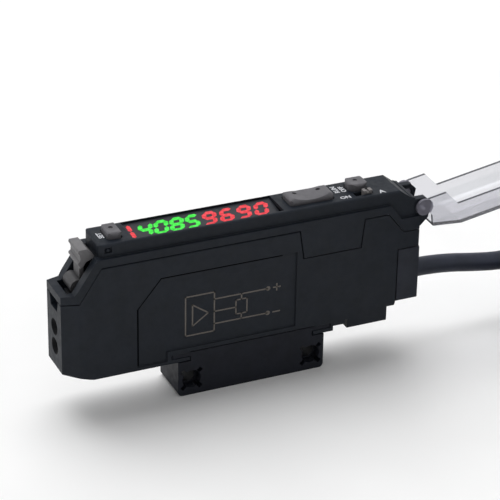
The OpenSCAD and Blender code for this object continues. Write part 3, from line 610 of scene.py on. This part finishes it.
def makeWord(word):
    curve = bpy.data.curves.new(word["name"], "FONT")
    curve.body = word["text"]
    curve.size = word["size"] * mm
    curve.align_x, curve.align_y = "CENTER", "CENTER"
    curve.extrude = printLay["thick"] * mm
    curve.offset = printLay["bold"] * mm
    curve.resolution_u = printLay["steps"]
    holder = bpy.data.objects.new(word["name"], curve)
    scene.collection.objects.link(holder)
    mesh = bpy.data.meshes.new_from_object(holder.evaluated_get(bpy.context.evaluated_depsgraph_get()))
    bpy.data.objects.remove(holder)
    place = Matrix.Translation(Vector((*word["at"], printLay["rise"])) * mm)
    mesh.transform(place @ Matrix.Rotation(math.radians(word["turn"]), 4, "Z"))
    mesh.materials.clear()
    addPiece(word["name"], mesh, "inkWhite", "housing")


for word in panelWords:
    makeWord(word)
print("panel words done")

# generic wiring sketch on the side field: an amplifier, three wires and a load
sketchLay = {
    "name": "wiringSketch", "finish": "inkSand", "field": -4.65, "thick": 0.015, "line": 0.3,
    "strokes": [(-14.5, 13.6, -14.5, 22.4), (-14.5, 22.4, -8.3, 22.4), (-8.3, 22.4, -8.3, 13.6),
                (-8.3, 13.6, -14.5, 13.6), (-13.0, 20.4, -13.0, 15.6), (-13.0, 20.4, -9.6, 18.0),
                (-13.0, 15.6, -9.6, 18.0), (-8.3, 20.8, 3.2, 20.8), (-8.3, 18.0, -3.6, 18.0),
                (-8.3, 15.2, 3.2, 15.2), (-2.4, 20.8, -2.4, 19.6), (-2.4, 16.4, -2.4, 15.2),
                (-3.6, 19.6, -1.2, 19.6), (-1.2, 19.6, -1.2, 16.4), (-1.2, 16.4, -3.6, 16.4),
                (-3.6, 16.4, -3.6, 19.6), (4.6, 20.8, 6.0, 20.8), (5.3, 21.5, 5.3, 20.1),
                (4.6, 15.2, 6.0, 15.2)],
    "dots": [(3.4, 20.8), (3.4, 15.2)], "dotRadius": 0.5, "dotSides": 20,
}
# painted shadow: a dark line in the step around the field, where the step shades the recess
fieldShadowLine = {
    "name": "fieldShadowLine", "finish": "shadowDark", "field": -4.65, "thick": 0.01, "line": 0.42, "dots": [],
    "strokes": [(-24.68, 9.2, -24.68, 21.8), (-24.7, 21.8, -19.68, 27.8), (-19.68, 27.78, 6.2, 27.78)],
}


def makeSketch(lay):
    bm = bmesh.new()
    for x0, z0, x1, z1 in lay["strokes"]:
        start, end = Vector((x0, lay["field"], z0)), Vector((x1, lay["field"], z1))
        along = (end - start).normalized() * lay["line"] / 2
        aside = Vector((-along.z, 0, along.x))
        corners = (start - along - aside, end + along - aside, end + along + aside, start - along + aside)
        bm.faces.new([bm.verts.new(corner * mm) for corner in corners])
    upright = Matrix.Rotation(math.radians(90), 4, "X")
    for x, z in lay["dots"]:
        place = Matrix.Translation(Vector((x, lay["field"], z)) * mm)
        bmesh.ops.create_circle(bm, cap_ends=True, segments=lay["dotSides"], radius=lay["dotRadius"] * mm,
                                matrix=place @ upright)
    faceOut(bm, Vector((0, -1, 0)))
    thicken(bm, Vector((0, -lay["thick"] * mm, 0)))
    addPiece(lay["name"], toMesh(bm, lay["name"]), lay["finish"], "housing")


makeSketch(sketchLay)
makeSketch(fieldShadowLine)
print("side field done")

# bench and lamps
benchLook = {"size": 3.0, "colour": tone(250, 250, 250), "dust": tone(253, 253, 253), "dustScale": 40, "rough": 0.9,
             "shine": 0.1}
roomLook = {"front": 0.07, "zenith": 0.5}


def makeBench(look):
    bm = bmesh.new()
    bmesh.ops.create_grid(bm, x_segments=1, y_segments=1, size=look["size"])
    mesh = toMesh(bm, "bench")
    finish, tree, shader = newFinish("benchWhite")
    dust = addNoise(tree, look["dustScale"], 2)
    tree.links.new(addRamp(tree, dust, look["colour"], look["dust"]), shader.inputs["Base Color"])
    shader.inputs["Roughness"].default_value = look["rough"]
    shader.inputs["Specular IOR Level"].default_value = look["shine"]
    mesh.materials.append(finish)
    bench = bpy.data.objects.new("bench", mesh)
    scene.collection.objects.link(bench)


# the room is seen white by the camera, in gloss and through clear sheets, and is dimmer as a lamp
def makeWorld(look):
    world = bpy.data.worlds.new("studioRoom")
    scene.world = world
    world.use_nodes = True
    tree = world.node_tree
    tree.nodes.clear()
    out = tree.nodes.new("ShaderNodeOutputWorld")
    place = tree.nodes.new("ShaderNodeTexCoord")
    where = tree.nodes.new("ShaderNodeSeparateXYZ")
    tree.links.new(place.outputs["Generated"], where.inputs["Vector"])
    sky = addRamp(tree, where.outputs["Z"], grey(look["front"]), grey(look["zenith"]), 0.0, 1.0)
    room = addNode(tree, "ShaderNodeBackground", Strength=1.0)
    tree.links.new(sky, room.inputs["Color"])
    seen = addNode(tree, "ShaderNodeBackground", Color=(1, 1, 1, 1), Strength=1.0)
    path = tree.nodes.new("ShaderNodeLightPath")
    white = path.outputs["Is Camera Ray"]
    for kind in ("Is Glossy Ray", "Is Transmission Ray"):
        white = addMath(tree, "MAXIMUM", white, path.outputs[kind])
    mix = tree.nodes.new("ShaderNodeMixShader")
    tree.links.new(white, mix.inputs["Fac"])
    tree.links.new(room.outputs["Background"], mix.inputs[1])
    tree.links.new(seen.outputs["Background"], mix.inputs[2])
    tree.links.new(mix.outputs["Shader"], out.inputs["Surface"])


lampSet = [
    {"name": "backBox", "place": (-0.05, 0.68, 1.25), "aim": (0.0, 0, 0.02), "size": 1.5, "watts": 20,
     "mirrored": False},
    {"name": "leftBox", "place": (-0.8, 0.25, 0.3), "aim": (0.0, 0, 0.02), "size": 0.5, "watts": 0.65,
     "mirrored": True},
]


def makeLamps(lamps):
    for lamp in lamps:
        data = bpy.data.lights.new(lamp["name"], "AREA")
        data.size = lamp["size"]
        data.energy = lamp["watts"]
        light = bpy.data.objects.new(lamp["name"], data)
        light.location = lamp["place"]
        sight = Vector(lamp["aim"]) - Vector(lamp["place"])
        light.rotation_euler = sight.to_track_quat("-Z", "Y").to_euler()
        light.visible_glossy = lamp["mirrored"]
        scene.collection.objects.link(light)


makeBench(benchLook)
makeWorld(roomLook)
makeLamps(lampSet)
scene.view_settings.view_transform = "Standard"
print("bench and lamps done")
